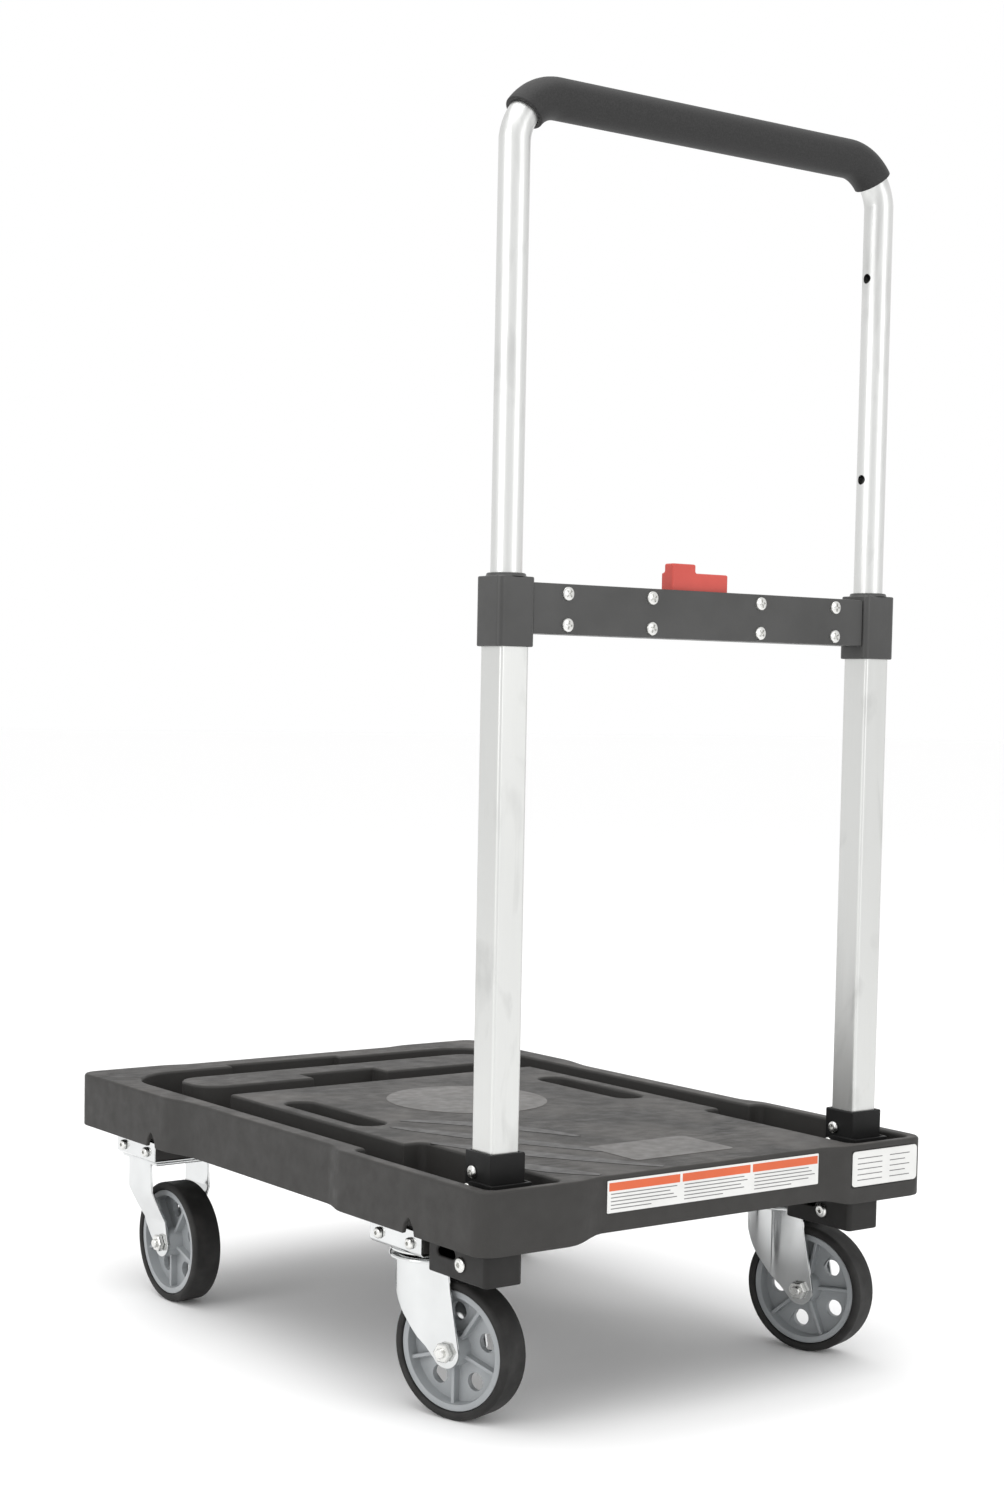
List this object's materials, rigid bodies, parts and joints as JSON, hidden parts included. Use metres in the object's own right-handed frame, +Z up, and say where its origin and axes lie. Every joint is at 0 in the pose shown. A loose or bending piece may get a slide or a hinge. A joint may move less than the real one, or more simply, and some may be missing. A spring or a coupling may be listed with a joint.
{
  "type": "folding platform cart",
  "caption": "Flat moulded platform cart on four casters with a telescoping, fold-down U handle, crossbar release button and handle channels in the deck.",
  "frame": {"origin": "on the floor, under the middle of the deck", "axes": "+Z up, +Y towards the far end, the handle stands at the -Y end, +X to the right of a person pushing"},
  "size_m": [0.535, 0.755, 1.18],
  "materials": {
    "deck_plastic": "moulded, fine spark texture",
    "label_film": "printed film",
    "housing_plastic": "moulded satin",
    "black_steel": "black powder coat",
    "bright_steel": "bright zinc",
    "zinc_steel": "zinc plated, satin",
    "satin_aluminium": "satin anodised",
    "collar_plastic": "glass-filled nylon, satin",
    "button_plastic": "moulded satin",
    "grip_foam": "closed-cell foam",
    "hub_plastic": "moulded satin",
    "tyre_rubber": "moulded elastomer"
  },
  "bodies": {
    "base": {"deck": "deck_plastic", "front_label": "label_film", "corner_label": "label_film", "hinge_housing_left": "housing_plastic", "housing_bolt_left": "bright_steel", "hinge_base_left": "black_steel", "pivot_bolt_left": "bright_steel", "hinge_housing_right": "housing_plastic", "housing_bolt_right": "bright_steel", "hinge_base_right": "black_steel", "pivot_bolt_right": "bright_steel", "swivel_left_tray": "zinc_steel", "swivel_left_tray_bolt_near": "bright_steel", "swivel_left_tray_bolt_far": "bright_steel", "swivel_left_race": "zinc_steel", "swivel_right_tray": "zinc_steel", "swivel_right_tray_bolt_near": "bright_steel", "swivel_right_tray_bolt_far": "bright_steel", "swivel_right_race": "zinc_steel", "rigid_left_tray": "zinc_steel", "rigid_left_tray_bolt_near": "bright_steel", "rigid_left_tray_bolt_far": "bright_steel", "rigid_left_fork": "zinc_steel", "rigid_left_axle": "bright_steel", "rigid_right_tray": "zinc_steel", "rigid_right_tray_bolt_near": "bright_steel", "rigid_right_tray_bolt_far": "bright_steel", "rigid_right_fork": "zinc_steel", "rigid_right_axle": "bright_steel"},
    "handle_frame": {"button_spring": "bright_steel", "post_bracket_left": "black_steel", "bracket_bolt_left": "bright_steel", "post_left": "satin_aluminium", "collar_left": "collar_plastic", "post_bracket_right": "black_steel", "bracket_bolt_right": "bright_steel", "post_right": "satin_aluminium", "collar_right": "collar_plastic", "crossbar_rear_half": "collar_plastic", "crossbar_front_half": "collar_plastic"},
    "upper_handle": {"handle_tube": "satin_aluminium", "foam_grip": "grip_foam", "guide_bush_left": "collar_plastic", "guide_bush_right": "collar_plastic"},
    "release_button": {"release_button": "button_plastic"},
    "lock_pin_left": {"lock_pin_left": "bright_steel"},
    "lock_pin_right": {"lock_pin_right": "bright_steel"},
    "swivel_left_caster": {"swivel_left_fork": "zinc_steel", "swivel_left_axle": "bright_steel"},
    "swivel_left_wheel": {"swivel_left_hub": "hub_plastic", "swivel_left_tyre": "tyre_rubber"},
    "swivel_right_caster": {"swivel_right_fork": "zinc_steel", "swivel_right_axle": "bright_steel"},
    "swivel_right_wheel": {"swivel_right_hub": "hub_plastic", "swivel_right_tyre": "tyre_rubber"},
    "rigid_left_wheel": {"rigid_left_hub": "hub_plastic", "rigid_left_tyre": "tyre_rubber"},
    "rigid_right_wheel": {"rigid_right_hub": "hub_plastic", "rigid_right_tyre": "tyre_rubber"}
  },
  "joints": [
    {"name": "handle_fold", "type": "hinge", "parent": "base", "child": "handle_frame", "pos_m": [0, -0.325, 0.2084], "axis": [1, 0, 0], "range_deg": [-86.4, 0]},
    {"name": "handle_telescope", "type": "slide", "parent": "handle_frame", "child": "upper_handle", "axis": [0, 0, 1], "range_m": [-0.3206, 0]},
    {"name": "release_press", "type": "slide", "parent": "handle_frame", "child": "release_button", "axis": [0, 0, -1], "range_m": [0, 0.007], "stiffness_N_per_m": 600, "springref_m": -0.004, "deforming": ["button_spring"]},
    {"name": "lock_pin_left_slide", "type": "slide", "parent": "handle_frame", "child": "lock_pin_left", "axis": [1, 0, 0], "range_m": [0, 0.0062]},
    {"name": "lock_pin_right_slide", "type": "slide", "parent": "handle_frame", "child": "lock_pin_right", "axis": [-1, 0, 0], "range_m": [0, 0.0062]},
    {"name": "swivel_left_turn", "type": "hinge", "parent": "base", "child": "swivel_left_caster", "pos_m": [-0.217, -0.232, 0.1], "axis": [0, 0, 1], "continuous": true},
    {"name": "swivel_left_roll", "type": "hinge", "parent": "swivel_left_caster", "child": "swivel_left_wheel", "pos_m": [-0.20706, -0.26451, 0.0635], "axis": [0.9563, 0.2924, 0], "continuous": true},
    {"name": "rigid_left_roll", "type": "hinge", "parent": "base", "child": "rigid_left_wheel", "pos_m": [-0.217, 0.238, 0.0635], "axis": [1, 0, 0], "continuous": true},
    {"name": "swivel_right_turn", "type": "hinge", "parent": "base", "child": "swivel_right_caster", "pos_m": [0.217, -0.232, 0.1], "axis": [0, 0, 1], "continuous": true},
    {"name": "swivel_right_roll", "type": "hinge", "parent": "swivel_right_caster", "child": "swivel_right_wheel", "pos_m": [0.22694, -0.26451, 0.0635], "axis": [0.9563, 0.2924, 0], "continuous": true},
    {"name": "rigid_right_roll", "type": "hinge", "parent": "base", "child": "rigid_right_wheel", "pos_m": [0.217, 0.238, 0.0635], "axis": [1, 0, 0], "continuous": true}
  ],
  "couplings": [
    {"joint": "lock_pin_left_slide", "follows": "release_press", "ratio": 0.857},
    {"joint": "lock_pin_right_slide", "follows": "release_press", "ratio": 0.857}
  ]
}
